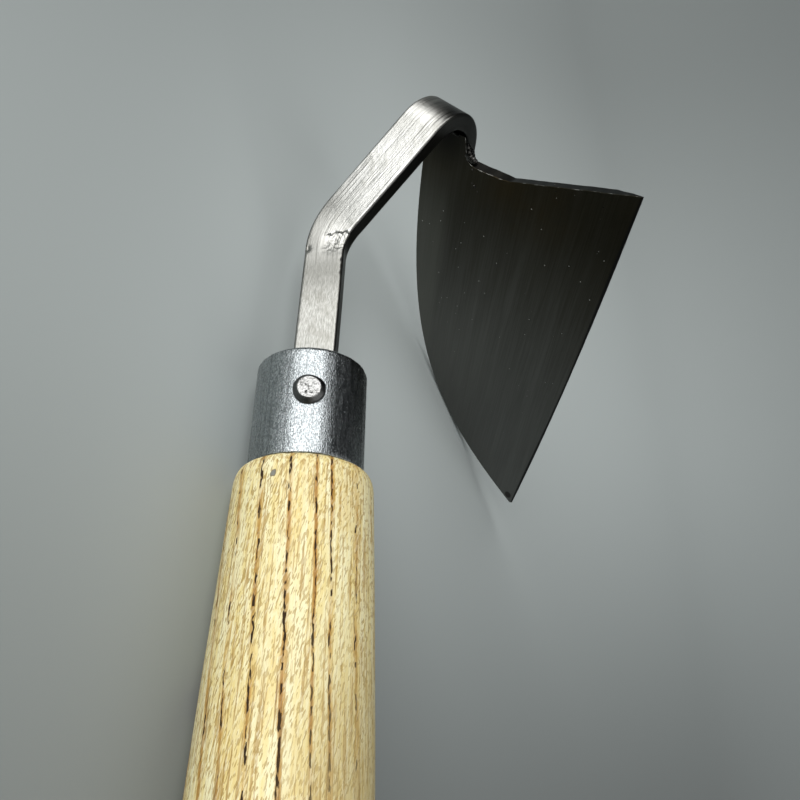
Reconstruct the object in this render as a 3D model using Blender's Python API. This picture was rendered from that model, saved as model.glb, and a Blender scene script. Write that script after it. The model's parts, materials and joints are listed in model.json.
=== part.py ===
"""Hand weeding hoe: ash handle, capped ferrule, flat neck with an elbow and a fold, welded blade.

The pieces are built in the tool's own frame: +X runs along the handle to the head, +Z is the front
of the neck, +Y is its left. X is 0 at the ferrule's top. The whole tool is then turned as it lies
on a floor. Lengths are in metres and angles in degrees.
"""

import math

import bmesh
import bpy
from mathutils import Matrix, Vector

# Clearances
GAP = 0.0003

# Ferrule, a drawn cap over the end of the handle
FERRULE_RADIUS = 0.0120
FERRULE_LENGTH = 0.0240
FERRULE_WALL = 0.0010
FERRULE_RIM_RADIUS = 0.0014

# Handle, a turned swelling with a stepped-down tenon
HANDLE_LENGTH = 0.2300
HANDLE_NECK_RADIUS = 0.0142
HANDLE_BELLY_RADIUS = 0.0166
HANDLE_BELLY_DEPTH = 0.1500
SHOULDER_DROP = 0.0040
BUTT_ROUNDING = 0.0070

# Neck bar: tang, straight run, elbow, run to the side, fold and leg
TANG_LENGTH = 0.0550
TANG_TIP_WIDTH = 0.0050
TANG_TIP_THICKNESS = 0.0030
STUB_WIDTH = 0.0094
STUB_THICKNESS = 0.0047
STUB_LENGTH = 0.0393
STUB_LEAN = 1.3
STUB_OFFSET = 0.0002
ARM_WIDTH = 0.0106
ARM_THICKNESS = 0.0048
ARM_LENGTH = 0.0347
LEG_THICKNESS = 0.0042
LEG_LENGTH = 0.0200
BAR_CORNER_RADIUS = 0.0006
ELBOW_ANGLE = 45.0
ELBOW_RISE = 19.3
ELBOW_TWIST = 4.5
ELBOW_RADIUS = 0.0140
FOLD_ANGLE = 126.2
FOLD_SKEW = 4.6
FOLD_RADIUS = 0.0093

# Blade, measured from the centre of the leg where the fold ends: across it and down it
BLADE_THICKNESS = 0.0027
EDGE_THICKNESS = 0.0004
BEVEL_WIDTH = 0.0070
TAB_LEFT = -0.0062
TAB_RIGHT = 0.0059
TAB_CLEARANCE = 0.00067
TAB_FLARE = 0.0012
NOTCH_DOWN = 0.0017
NOTCH_RADIUS = 0.0018
SHOULDER_ACROSS = 0.0210
SHOULDER_DOWN = 0.0012
HEEL_ACROSS = 0.0540
HEEL_DOWN = -0.0100
TIP_ACROSS = 0.0489
TIP_DOWN = 0.1156
TIP_ROUNDING = 0.0008
EDGE_BULGE = 0.0010
BACK_TOP = 0.0040
BACK_LEAN = 0.9
BACK_DROP = 0.0647
BACK_SWEEP = 0.0434
TIP_ANGLE = 29.6

# Rivet
RIVET_DEPTH = 0.0103
RIVET_ROLL = 10.5
RIVET_SHANK_RADIUS = 0.0019
RIVET_HEAD_RADIUS = 0.0031
RIVET_CROWN_RADIUS = 0.0023
RIVET_HEAD_HEIGHT = 0.0012
RIVET_SHOULDER_HEIGHT = 0.0010
RIVET_CROWN_RISE = 0.0001

# Weld around the leg, with a puddle where it began and a thin end
WELD_WIDTH = 0.0024
WELD_HEIGHT = 0.0019
WELD_TOP = -0.0008
WELD_RIPPLE = 0.0001
WELD_RIPPLE_LENGTH = 0.0010
WELD_PUDDLE = 0.0007
WELD_PUDDLE_LENGTH = 0.0030
WELD_END_LENGTH = 0.0014
WELD_END_WIDTH = 0.0008

# Steps around turned pieces, along bends and along curves
ROUND_STEPS = 48
RIVET_STEPS = 32
RIVET_SHOULDER_STEPS = 6
ELBOW_STEPS = 12
FOLD_STEPS = 20
STRAIGHT_STEPS = 4
TANG_STEPS = 6
CORNER_STEPS = 3
CURVE_STEPS = 24
BODY_STEPS = 24
ROUNDING_STEPS = 8
INNER_RIM_STEPS = 3
NOTCH_STEPS = 5
WELD_ROUND_STEPS = 5
WELD_STEP = 0.00025

# Edges that turn more sharply than this stay crisp
SHARP_ANGLE = 32.0

# Points closer than this are one
MERGE_DISTANCE = 1e-6

# Least distance from the edge of what the tool lies on to where its weight falls
STEADY_MARGIN = 0.0005

# Weights for the centre of mass, in kilograms per cubic metre
STEEL_DENSITY = 7850
WOOD_DENSITY = 680


def clear_scene():
    """Remove every object that the scene starts with."""
    for item in list(bpy.data.objects):
        bpy.data.objects.remove(item, do_unlink=True)


def make_material(name, colour, roughness, metallic):
    """A plain surface with one colour."""
    material = bpy.data.materials.new(name)
    material.use_nodes = True
    shader = material.node_tree.nodes["Principled BSDF"]
    shader.inputs["Base Color"].default_value = (*colour, 1.0)
    shader.inputs["Roughness"].default_value = roughness
    shader.inputs["Metallic"].default_value = metallic
    return material


def ash_wood():
    return make_material("ash_wood", (0.72, 0.52, 0.30), 0.55, 0.0)


def zinc_plate():
    return make_material("zinc_plate", (0.55, 0.58, 0.60), 0.38, 1.0)


def bar_steel():
    return make_material("bar_steel", (0.62, 0.60, 0.57), 0.30, 1.0)


def blade_steel():
    return make_material("blade_steel", (0.30, 0.29, 0.27), 0.35, 1.0)


def rivet_steel():
    return make_material("rivet_steel", (0.66, 0.67, 0.67), 0.32, 1.0)


def weld_metal():
    return make_material("weld_metal", (0.40, 0.38, 0.36), 0.40, 1.0)


def add_object(name, shape, material=None):
    """Put a finished bmesh in the scene under its name."""
    bmesh.ops.recalc_face_normals(shape, faces=shape.faces)
    mesh = bpy.data.meshes.new(name)
    shape.to_mesh(mesh)
    shape.free()
    item = bpy.data.objects.new(name, mesh)
    bpy.context.scene.collection.objects.link(item)
    if material:
        mesh.materials.append(material)
        mesh.shade_smooth()
        mesh.set_sharp_from_angle(angle=math.radians(SHARP_ANGLE))
    return item


def add_cutter(name, shape):
    """A solid that only cuts or joins others and isn't part of the tool."""
    item = add_object(name, shape)
    item.hide_render = True
    item.display_type = "WIRE"
    return item


def apply_boolean(item, other, operation="DIFFERENCE"):
    modifier = item.modifiers.new(other.name, "BOOLEAN")
    modifier.operation = operation
    modifier.solver = "EXACT"
    modifier.object = other


def turned(profile, steps):
    """Spin (x, radius) points about the X axis into a closed solid."""
    shape = bmesh.new()
    points = [shape.verts.new((x, 0.0, radius)) for x, radius in profile]
    edges = [shape.edges.new(pair) for pair in zip(points, points[1:])]
    bmesh.ops.spin(
        shape,
        geom=points + edges,
        cent=(0, 0, 0),
        axis=(1, 0, 0),
        angle=math.tau,
        steps=steps,
        use_merge=True,
    )
    bmesh.ops.remove_doubles(shape, verts=shape.verts, dist=MERGE_DISTANCE)
    return shape


def arc(centre, radius, start, end, steps):
    """Points of an arc in a plane, with both ends."""
    angles = [start + (end - start) * i / steps for i in range(steps + 1)]
    return [
        (centre[0] + radius * math.cos(angle), centre[1] + radius * math.sin(angle))
        for angle in angles
    ]


def skin(rings):
    """Join rings of points that all have one count, and close both ends."""
    shape = bmesh.new()
    loops = [[shape.verts.new(point) for point in ring] for ring in rings]
    count = len(loops[0])
    for first, second in zip(loops, loops[1:]):
        for i in range(count):
            j = (i + 1) % count
            shape.faces.new((first[i], first[j], second[j], second[i]))
    shape.faces.new(loops[0])
    shape.faces.new(reversed(loops[-1]))
    return shape


def handle_radius(x):
    """Radius of the wood below its shoulder: a gentle swelling about the belly."""
    neck_depth = FERRULE_LENGTH + SHOULDER_DROP
    from_belly = (HANDLE_BELLY_DEPTH + x) / (HANDLE_BELLY_DEPTH - neck_depth)
    return HANDLE_BELLY_RADIUS - (HANDLE_BELLY_RADIUS - HANDLE_NECK_RADIUS) * from_belly**2


def handle_profile():
    """Half outline of the wood, from the top of the tenon to the middle of the butt."""
    tenon_radius = FERRULE_RADIUS - FERRULE_WALL - GAP
    tenon_top = -(FERRULE_WALL + GAP)
    seat = -(FERRULE_LENGTH + GAP)
    tenon_chamfer = FERRULE_RIM_RADIUS
    points = [(tenon_top, 0.0), (tenon_top, tenon_radius - tenon_chamfer)]
    points += [(tenon_top - tenon_chamfer, tenon_radius), (seat, tenon_radius)]
    lip = FERRULE_RADIUS + GAP
    neck_x = seat - SHOULDER_DROP
    for i in range(ROUNDING_STEPS + 1):
        turn = math.radians(90 * i / ROUNDING_STEPS)
        x = seat - SHOULDER_DROP * (1 - math.cos(turn))
        radius = lip + (handle_radius(neck_x) - lip) * math.sin(turn)
        points.append((x, radius))
    butt_x = seat - HANDLE_LENGTH
    body_end = butt_x + BUTT_ROUNDING
    for i in range(1, BODY_STEPS + 1):
        x = neck_x + (body_end - neck_x) * i / BODY_STEPS
        points.append((x, handle_radius(x)))
    end_radius = handle_radius(body_end)
    middle = (body_end, end_radius - BUTT_ROUNDING)
    points += arc(middle, BUTT_ROUNDING, math.pi / 2, math.pi, ROUNDING_STEPS)[1:]
    points.append((butt_x, 0.0))
    return points


def ferrule_profile():
    """Closed half outline of the cap: outer skin down from the middle, inner skin back up."""
    rim = (-FERRULE_RIM_RADIUS, FERRULE_RADIUS - FERRULE_RIM_RADIUS)
    outer = [(0.0, 0.0)] + arc(rim, FERRULE_RIM_RADIUS, 0.0, math.pi / 2, ROUNDING_STEPS)
    mouth = -FERRULE_LENGTH
    inner_radius = FERRULE_RIM_RADIUS - FERRULE_WALL
    inner = arc(rim, inner_radius, math.pi / 2, 0.0, INNER_RIM_STEPS)
    ends = [(mouth, FERRULE_RADIUS), (mouth, FERRULE_RADIUS - FERRULE_WALL)]
    return outer + ends + inner + [(-FERRULE_WALL, 0.0)]


class Station:
    """A place on the bar's centre line: where it is and which way its three sides face."""

    def __init__(self, place, along, front, width, thickness):
        self.place = Vector(place)
        self.along = Vector(along).normalized()
        self.front = Vector(front).normalized()
        self.width = width
        self.thickness = thickness

    @property
    def right(self):
        return self.along.cross(self.front)

    def ring(self, margin=0.0):
        """Section with rounded corners, larger all round by the margin."""
        half_width = self.width / 2 + margin
        half_thickness = self.thickness / 2 + margin
        radius = BAR_CORNER_RADIUS
        points = []
        for quarter, (side, face) in enumerate(((1, 1), (-1, 1), (-1, -1), (1, -1))):
            centre = (side * (half_width - radius), face * (half_thickness - radius))
            start = math.radians(90 * quarter)
            for across, out in arc(centre, radius, start, start + math.pi / 2, CORNER_STEPS):
                points.append(self.place + self.right * across + self.front * out)
        return points


def run_straight(station, length, width, thickness, steps=STRAIGHT_STEPS):
    """Stations along a straight run whose section changes evenly to the given one."""
    stations = []
    for i in range(1, steps + 1):
        share = i / steps
        stations.append(
            Station(
                station.place + station.along * length * share,
                station.along,
                station.front,
                station.width + (width - station.width) * share,
                station.thickness + (thickness - station.thickness) * share,
            )
        )
    return stations


def run_bend(station, turn, radius, width, thickness, steps):
    """Stations along a bend about one fixed axis, a helix where the axis is askew."""
    axis, angle = turn
    place = station.place.copy()
    stations = []
    for i in range(1, steps + 1):
        middle = Matrix.Rotation(angle * (i - 0.5) / steps, 3, axis)
        place = place + middle @ station.along * radius * abs(angle) / steps
        here = Matrix.Rotation(angle * i / steps, 3, axis)
        share = i / steps
        stations.append(
            Station(
                place,
                here @ station.along,
                here @ station.front,
                station.width + (width - station.width) * share,
                station.thickness + (thickness - station.thickness) * share,
            )
        )
    return stations


def stub_start():
    """The bar where it leaves the ferrule, leaning a little to the right."""
    lean = Matrix.Rotation(math.radians(-STUB_LEAN), 3, "Z")
    along = lean @ Vector((1, 0, 0))
    return Station((0, -STUB_OFFSET, 0), along, (0, 0, 1), STUB_WIDTH, STUB_THICKNESS)


def elbow_turn(station):
    """The turn at the elbow: to the right, up toward the front, and a small twist."""
    sideways = Matrix.Rotation(math.radians(-ELBOW_ANGLE), 3, station.front)
    right = sideways @ station.right
    rise = Matrix.Rotation(math.radians(ELBOW_RISE), 3, right)
    along = rise @ sideways @ station.along
    twist = Matrix.Rotation(math.radians(ELBOW_TWIST), 3, along)
    axis, angle = (twist @ rise @ sideways).to_quaternion().to_axis_angle()
    return axis, angle


def bar_stations():
    """Every station of the bar from the ferrule to the end of the leg."""
    start = stub_start()
    axis, angle = elbow_turn(start)
    set_back = ELBOW_RADIUS * math.tan(angle / 2)
    stations = [start]
    stations += run_straight(start, STUB_LENGTH - set_back, STUB_WIDTH, STUB_THICKNESS)
    stations += run_bend(
        stations[-1], (axis, angle), ELBOW_RADIUS, ARM_WIDTH, ARM_THICKNESS, ELBOW_STEPS
    )
    stations += run_straight(stations[-1], ARM_LENGTH - set_back, ARM_WIDTH, ARM_THICKNESS)
    before_fold = stations[-1]
    skew = Matrix.Rotation(math.radians(FOLD_SKEW), 3, before_fold.front)
    fold = (skew @ before_fold.right, -math.radians(FOLD_ANGLE))
    stations += run_bend(before_fold, fold, FOLD_RADIUS, ARM_WIDTH, LEG_THICKNESS, FOLD_STEPS)
    return stations


def leg_start():
    """The bar where the fold ends and the leg lies on the blade."""
    return bar_stations()[-1]


def tang_stations(extra=0.0):
    """The tang from its thin end up to the ferrule, longer at the thin end by the extra."""
    start = stub_start()
    back = Station(start.place, -start.along, start.front, STUB_WIDTH, STUB_THICKNESS)
    steps = run_straight(back, TANG_LENGTH, TANG_TIP_WIDTH, TANG_TIP_THICKNESS, TANG_STEPS)
    if extra:
        steps += run_straight(steps[-1], extra, TANG_TIP_WIDTH, TANG_TIP_THICKNESS, 1)
    return [
        Station(step.place, start.along, start.front, step.width, step.thickness)
        for step in reversed(steps)
    ]


def make_neck_bar():
    leg = run_straight(leg_start(), LEG_LENGTH, ARM_WIDTH, LEG_THICKNESS)
    stations = tang_stations() + bar_stations() + leg
    return add_object("neck_bar", skin([step.ring() for step in stations]), bar_steel())


def make_tang_cutter():
    """The room that the tang takes in the wood and in the ferrule's top."""
    start = stub_start()
    above = run_straight(start, FERRULE_WALL * 2, STUB_WIDTH, STUB_THICKNESS, 1)
    stations = tang_stations(extra=GAP) + [start] + above
    return add_cutter("tang_room", skin([step.ring(margin=GAP) for step in stations]))


def rivet_place():
    """Turns a piece made about the X axis so that it points out of the ferrule at the rivet."""
    outward = Matrix.Rotation(math.radians(-90), 4, "Y")
    roll = Matrix.Rotation(math.radians(RIVET_ROLL), 4, "X")
    return Matrix.Translation((-RIVET_DEPTH, 0, 0)) @ roll @ outward


def rod(name, radius, half_length, steps, placed):
    """A plain cylinder about the X axis, used to cut or to join."""
    ends = [(-half_length, 0.0), (-half_length, radius), (half_length, radius), (half_length, 0.0)]
    item = add_cutter(name, turned(ends, steps))
    item.matrix_world = placed
    return item


def rivet_head():
    """Half outline of one head: a rounded shoulder and a crown beaten nearly flat."""
    base = FERRULE_RADIUS - RIVET_HEAD_HEIGHT
    top = FERRULE_RADIUS + RIVET_HEAD_HEIGHT
    shoulder_base = top - RIVET_CROWN_RISE * 2 - RIVET_SHOULDER_HEIGHT
    overhang = RIVET_HEAD_RADIUS - RIVET_CROWN_RADIUS
    points = [(base, 0.0), (base, RIVET_HEAD_RADIUS)]
    for i in range(RIVET_SHOULDER_STEPS + 1):
        turn = math.radians(90 * i / RIVET_SHOULDER_STEPS)
        x = shoulder_base + RIVET_SHOULDER_HEIGHT * math.sin(turn)
        points.append((x, RIVET_CROWN_RADIUS + overhang * math.cos(turn)))
    points.append((top - RIVET_CROWN_RISE, RIVET_CROWN_RADIUS / 2))
    points.append((top, 0.0))
    return points


def make_rivet():
    """Two heads that follow the round of the ferrule, joined by a shank."""
    shape = turned(rivet_head(), RIVET_STEPS)
    front = list(shape.verts) + list(shape.edges) + list(shape.faces)
    copy = bmesh.ops.duplicate(shape, geom=front)["geom"]
    far_side = [item for item in copy if isinstance(item, bmesh.types.BMVert)]
    bmesh.ops.rotate(shape, verts=far_side, cent=(0, 0, 0), matrix=Matrix.Rotation(math.pi, 3, "Z"))
    rivet = add_object("rivet", shape, rivet_steel())
    rivet.matrix_world = rivet_place()
    along_handle = Matrix.Identity(4)
    body = rod("ferrule_room", FERRULE_RADIUS + GAP, FERRULE_LENGTH * 2, ROUND_STEPS * 2, along_handle)
    shank = rod("rivet_shank", RIVET_SHANK_RADIUS, FERRULE_RADIUS + GAP * 2, RIVET_STEPS, rivet_place())
    apply_boolean(rivet, body)
    apply_boolean(rivet, shank, "UNION")
    return rivet


def cubic(first, second, third, last, steps):
    """Points on a cubic curve after its first point."""
    points = []
    for i in range(1, steps + 1):
        t = i / steps
        weights = ((1 - t) ** 3, 3 * t * (1 - t) ** 2, 3 * t**2 * (1 - t), t**3)
        corners = (first, second, third, last)
        points.append(tuple(sum(w * c[k] for w, c in zip(weights, corners)) for k in (0, 1)))
    return points


def cutting_edge(inset=0.0):
    """The slightly bowed cutting edge from heel to tip, drawn in from the edge by the inset."""
    heel = Vector((HEEL_ACROSS, HEEL_DOWN))
    tip = Vector((TIP_ACROSS, TIP_DOWN))
    along = (tip - heel).normalized()
    outward = Vector((along.y, -along.x))
    points = []
    for i in range(CURVE_STEPS + 1):
        share = i / CURVE_STEPS
        bow = EDGE_BULGE * 4 * share * (1 - share)
        point = heel.lerp(tip, share) + outward * (bow - inset)
        points.append((point.x, point.y))
    return points


def blade_back(tip):
    """The back of the plate from under the tab round to the tip, after its first point."""
    lean = math.radians(BACK_LEAN)
    arrival = math.radians(TIP_ANGLE)
    top = (TAB_LEFT, BACK_TOP)
    below_top = (top[0] - BACK_DROP * math.sin(lean), top[1] + BACK_DROP * math.cos(lean))
    before_tip = (tip[0] - BACK_SWEEP * math.cos(arrival), tip[1] - BACK_SWEEP * math.sin(arrival))
    return cubic(top, below_top, before_tip, tip, CURVE_STEPS)


def tab_top():
    """How far up, and so below 0, the tab's front corner reaches into the hollow of the fold."""
    depth = FOLD_RADIUS - LEG_THICKNESS / 2 - GAP - BLADE_THICKNESS
    reach = FOLD_RADIUS - ARM_THICKNESS / 2 - TAB_CLEARANCE
    return -math.sqrt(reach**2 - depth**2)


def blade_outline():
    """Outline of the plate across and down the leg, from the tab's top left, clockwise."""
    points = [(TAB_LEFT, tab_top()), (TAB_RIGHT, tab_top())]
    notch = (TAB_RIGHT + TAB_FLARE + NOTCH_RADIUS, NOTCH_DOWN - NOTCH_RADIUS)
    points += arc(notch, NOTCH_RADIUS, math.pi, math.pi / 2, NOTCH_STEPS)
    points.append((SHOULDER_ACROSS, SHOULDER_DOWN))
    points += cutting_edge()
    blunt_tip = (TIP_ACROSS - TIP_ROUNDING * 2, TIP_DOWN + TIP_ROUNDING)
    points += reversed(blade_back(blunt_tip))
    points.append((TAB_LEFT, BACK_TOP))
    return points


def blade_frame():
    """Turns (across, down, out) into the tool's frame, with out 0 on the plate's front face."""
    leg = leg_start()
    front_of_plate = leg.place - leg.front * (leg.thickness / 2 + GAP + BLADE_THICKNESS)
    columns = Matrix((leg.right, leg.along, leg.front)).transposed().to_4x4()
    return Matrix.Translation(front_of_plate) @ columns


def make_blade():
    """A plate whose tab slopes under the fold, with its bevel ground on the far side."""
    front = [Vector((across, down, 0.0)) for across, down in blade_outline()]
    far = [point + Vector((0, 0, BLADE_THICKNESS)) for point in front]
    slope = -GAP - tab_top()
    far[0] = far[0].lerp(far[-1], slope / (BACK_TOP - tab_top()))
    far[1] = far[1].lerp(far[2], slope / (front[2].y - tab_top()))
    shape = skin([front, far])
    shape.transform(blade_frame())
    blade = add_object("blade", shape, blade_steel())
    apply_boolean(blade, make_bevel_cutter())
    return blade


def make_bevel_cutter():
    """A wedge outside the bevel's plane, as long as the cutting edge and a little more."""
    beyond = BEVEL_WIDTH
    inner = cutting_edge(inset=BEVEL_WIDTH)
    outer = cutting_edge(inset=-beyond)
    slope = (BLADE_THICKNESS - EDGE_THICKNESS) / BEVEL_WIDTH
    low = BLADE_THICKNESS - slope * (BEVEL_WIDTH + beyond)
    high = BLADE_THICKNESS + beyond
    rings = []
    for near, far in zip(inner, outer):
        rings.append([(*near, BLADE_THICKNESS), (*near, high), (*far, high), (*far, low)])
    rings.insert(0, stretched_ring(rings[1], rings[0]))
    rings.append(stretched_ring(rings[-2], rings[-1]))
    shape = skin(rings)
    shape.transform(blade_frame())
    return add_cutter("bevel_room", shape)


def stretched_ring(inner, end):
    """A ring past the end one, in the direction that the last step takes."""
    return [tuple(Vector(e) + (Vector(e) - Vector(i)) * 3) for i, e in zip(inner, end)]


def weld_path():
    """Way around the leg on the plate's far face, with the direction away from the leg."""
    side = ARM_WIDTH / 2 + GAP
    end = LEG_LENGTH + GAP
    corner = BAR_CORNER_RADIUS
    path = []
    down = WELD_TOP
    while down < end - corner:
        path.append(((side, down), (1.0, 0.0)))
        down += WELD_STEP
    for i in range(WELD_ROUND_STEPS + 1):
        turn = math.radians(90 * i / WELD_ROUND_STEPS)
        outward = (math.cos(turn), math.sin(turn))
        place = (side - corner + corner * outward[0], end - corner + corner * outward[1])
        path.append((place, outward))
    across = side - corner - WELD_STEP
    while across > 0:
        path.append(((across, end), (0.0, 1.0)))
        across -= WELD_STEP
    left = [((-x, y), (-out_x, out_y)) for (x, y), (out_x, out_y) in reversed(path)]
    return path + left


def weld_growth(from_start, from_end):
    """How much wider the bead is than its usual width, from its ripples, puddle and ends."""
    growth = WELD_RIPPLE * math.cos(math.tau * from_start / WELD_RIPPLE_LENGTH)
    growth += WELD_PUDDLE * math.exp(-((from_start / WELD_PUDDLE_LENGTH) ** 2))
    nearest = min(from_start, from_end)
    if nearest < WELD_END_LENGTH:
        rounding = math.sqrt(1 - (1 - nearest / WELD_END_LENGTH) ** 2)
        growth -= (WELD_WIDTH - WELD_END_WIDTH) * (1 - rounding)
    return growth


def weld_section(place, outward, growth):
    """Fillet between the leg's side and the plate's far face."""
    width = WELD_WIDTH + growth
    height = WELD_HEIGHT * width / WELD_WIDTH
    floor = BLADE_THICKNESS + GAP
    ring = [(*place, floor)]
    for i in range(WELD_ROUND_STEPS + 1):
        turn = math.radians(90 * i / WELD_ROUND_STEPS)
        out = width * math.cos(turn)
        up = height * math.sin(turn)
        ring.append((place[0] + outward[0] * out, place[1] + outward[1] * out, floor + up))
    return ring


def make_weld():
    """One bead down the right of the leg, round its end and up the left."""
    path = weld_path()
    distances = [0.0]
    for (before, _), (place, _) in zip(path, path[1:]):
        distances.append(distances[-1] + math.dist(before, place))
    rings = []
    for (place, outward), distance in zip(path, distances):
        growth = weld_growth(distance, distances[-1] - distance)
        rings.append(weld_section(place, outward, growth))
    shape = skin(rings)
    shape.transform(blade_frame())
    return add_object("weld_bead", shape, weld_metal())


def make_handle(tang_room, rivet_room):
    handle = add_object("handle", turned(handle_profile(), ROUND_STEPS), ash_wood())
    apply_boolean(handle, tang_room)
    apply_boolean(handle, rivet_room)
    return handle


def make_ferrule(tang_room, rivet_room):
    ferrule = add_object("ferrule", turned(ferrule_profile(), ROUND_STEPS), zinc_plate())
    apply_boolean(ferrule, tang_room)
    apply_boolean(ferrule, rivet_room)
    return ferrule


def evaluated_points(item):
    """Corners of the finished piece, with its volume and the middle of that volume."""
    graph = bpy.context.evaluated_depsgraph_get()
    shape = bmesh.new()
    shape.from_mesh(item.evaluated_get(graph).to_mesh())
    shape.transform(item.matrix_world)
    bmesh.ops.triangulate(shape, faces=shape.faces)
    volume = 0.0
    moment = Vector((0, 0, 0))
    for face in shape.faces:
        a, b, c = (corner.co for corner in face.verts)
        part = a.dot(b.cross(c)) / 6
        volume += part
        moment += (a + b + c) / 4 * part
    points = [corner.co.copy() for corner in shape.verts]
    shape.free()
    return points, volume, moment


def steadiness(face, centre):
    """How far inside a three-cornered face of the hull the weight falls, below 0 outside it."""
    corners = [corner.co for corner in face.verts]
    sides = []
    for i, corner in enumerate(corners):
        along = (corners[(i + 1) % 3] - corner).normalized()
        sides.append(along.cross(centre - corner).dot(face.normal))
    return min(sides)


def resting_side(points, centre):
    """The way down when the tool lies still with its weight as low as it can be."""
    hull = bmesh.new()
    for point in points:
        hull.verts.new(point)
    bmesh.ops.convex_hull(hull, input=hull.verts, use_existing_faces=False)
    hull.normal_update()
    steady = [face for face in hull.faces if steadiness(face, centre) > STEADY_MARGIN]
    lowest = min(steady, key=lambda face: face.normal.dot(face.verts[0].co - centre))
    down = lowest.normal.copy()
    hull.free()
    return down


def lying_on_floor(pieces):
    """Turns the tool as it lies on a floor, with its handle along X and its box's base at 0."""
    points = []
    mass = 0.0
    centre = Vector((0, 0, 0))
    for item, density in pieces:
        corners, volume, moment = evaluated_points(item)
        points += corners
        mass += volume * density
        centre += moment * density
    centre /= mass
    up = -resting_side(points, centre)
    forward = (Vector((1, 0, 0)) - up * up.x).normalized()
    turn = Matrix((forward, up.cross(forward), up)).to_4x4()
    placed = [turn @ point for point in points]
    low = [min(point[k] for point in placed) for k in range(3)]
    high = [max(point[k] for point in placed) for k in range(3)]
    shift = Vector((-(low[0] + high[0]) / 2, -(low[1] + high[1]) / 2, -low[2]))
    return Matrix.Translation(shift) @ turn


def build():
    clear_scene()
    tang_room = make_tang_cutter()
    rivet_hole = RIVET_SHANK_RADIUS + GAP
    rivet_room = rod("rivet_room", rivet_hole, FERRULE_RADIUS * 2, RIVET_STEPS, rivet_place())
    neck_bar = make_neck_bar()
    apply_boolean(neck_bar, rivet_room)
    handle = make_handle(tang_room, rivet_room)
    steel = [make_ferrule(tang_room, rivet_room), neck_bar, make_rivet(), make_blade(), make_weld()]
    pieces = [(handle, WOOD_DENSITY)] + [(item, STEEL_DENSITY) for item in steel]
    bpy.context.view_layer.update()
    tool = bpy.data.objects.new("hoe", None)
    bpy.context.scene.collection.objects.link(tool)
    everything = [item for item in bpy.context.scene.objects if item != tool]
    placed = lying_on_floor(pieces)
    for item in everything:
        item.parent = tool
    tool.matrix_world = placed
    bpy.context.view_layer.update()


build()
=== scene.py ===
"""Looks of the hand weeding hoe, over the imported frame.

Pieces are modelled in the tool's own frame, as in the CAD: +X runs along the handle to the head and
is 0 at the ferrule's top, +Z is the front of the neck and +Y its left. TOOL turns that frame as the
tool lies on the floor. Lengths are in metres and angles in degrees.
"""

import json
import math
import random

import bmesh
import bpy
from mathutils import Matrix, Vector, noise

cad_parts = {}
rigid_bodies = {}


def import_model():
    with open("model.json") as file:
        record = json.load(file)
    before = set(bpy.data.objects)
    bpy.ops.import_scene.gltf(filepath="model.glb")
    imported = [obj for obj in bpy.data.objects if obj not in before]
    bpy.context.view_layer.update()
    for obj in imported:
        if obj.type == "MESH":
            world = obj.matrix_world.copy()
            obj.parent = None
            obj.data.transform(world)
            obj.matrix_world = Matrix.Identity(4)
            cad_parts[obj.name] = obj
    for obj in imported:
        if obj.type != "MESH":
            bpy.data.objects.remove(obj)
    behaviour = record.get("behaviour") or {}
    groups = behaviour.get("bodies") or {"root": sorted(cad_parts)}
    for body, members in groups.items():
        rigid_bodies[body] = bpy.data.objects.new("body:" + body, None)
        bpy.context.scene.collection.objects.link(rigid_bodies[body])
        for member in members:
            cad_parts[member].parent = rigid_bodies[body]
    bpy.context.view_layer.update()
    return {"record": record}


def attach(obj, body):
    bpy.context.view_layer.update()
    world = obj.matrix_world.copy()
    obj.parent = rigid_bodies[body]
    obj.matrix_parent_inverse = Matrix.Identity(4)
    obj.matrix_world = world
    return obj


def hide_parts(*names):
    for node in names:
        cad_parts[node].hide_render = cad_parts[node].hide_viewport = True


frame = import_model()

# Sizes that the pieces share with the CAD
GAP = 0.0003
FERRULE_RADIUS = 0.0120
FERRULE_LENGTH = 0.0240
FERRULE_WALL = 0.0010
FERRULE_RIM_RADIUS = 0.0011
HANDLE_LENGTH = 0.2300
HANDLE_NECK_RADIUS = 0.0142
HANDLE_BELLY_RADIUS = 0.0166
HANDLE_BELLY_DEPTH = 0.1500
SHOULDER_DROP = 0.0040
BUTT_ROUNDING = 0.0070
STUB_WIDTH = 0.0094
STUB_THICKNESS = 0.0047
STUB_LENGTH = 0.0393
STUB_LEAN = 1.3
STUB_OFFSET = 0.0002
ARM_WIDTH = 0.0106
ARM_THICKNESS = 0.0048
ARM_LENGTH = 0.0347
LEG_THICKNESS = 0.0042
LEG_LENGTH = 0.0200
BAR_CORNER_RADIUS = 0.0006
ELBOW_ANGLE = 45.0
ELBOW_RISE = 19.3
ELBOW_TWIST = 4.5
ELBOW_RADIUS = 0.0140
FOLD_ANGLE = 126.2
FOLD_SKEW = 4.6
FOLD_RADIUS = 0.0093
BLADE_THICKNESS = 0.0027
EDGE_THICKNESS = 0.0004
BEVEL_WIDTH = 0.0070
TAB_LEFT = -0.0062
TAB_RIGHT = 0.0059
TAB_CLEARANCE = 0.00067
TAB_FLARE = 0.0012
NOTCH_DOWN = 0.0017
NOTCH_RADIUS = 0.0018
SHOULDER_ACROSS = 0.0210
SHOULDER_DOWN = 0.0012
HEEL_ACROSS = 0.0540
HEEL_DOWN = -0.0100
TIP_ACROSS = 0.0489
TIP_DOWN = 0.1156
TIP_ROUNDING = 0.0008
EDGE_BULGE = 0.0010
BACK_TOP = 0.0040
BACK_LEAN = 0.9
BACK_DROP = 0.0647
BACK_SWEEP = 0.0434
TIP_ANGLE = 29.6
RIVET_DEPTH = 0.0103
RIVET_ROLL = 10.5
RIVET_HEAD_RADIUS = 0.0033
RIVET_CROWN_RADIUS = 0.0022
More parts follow.
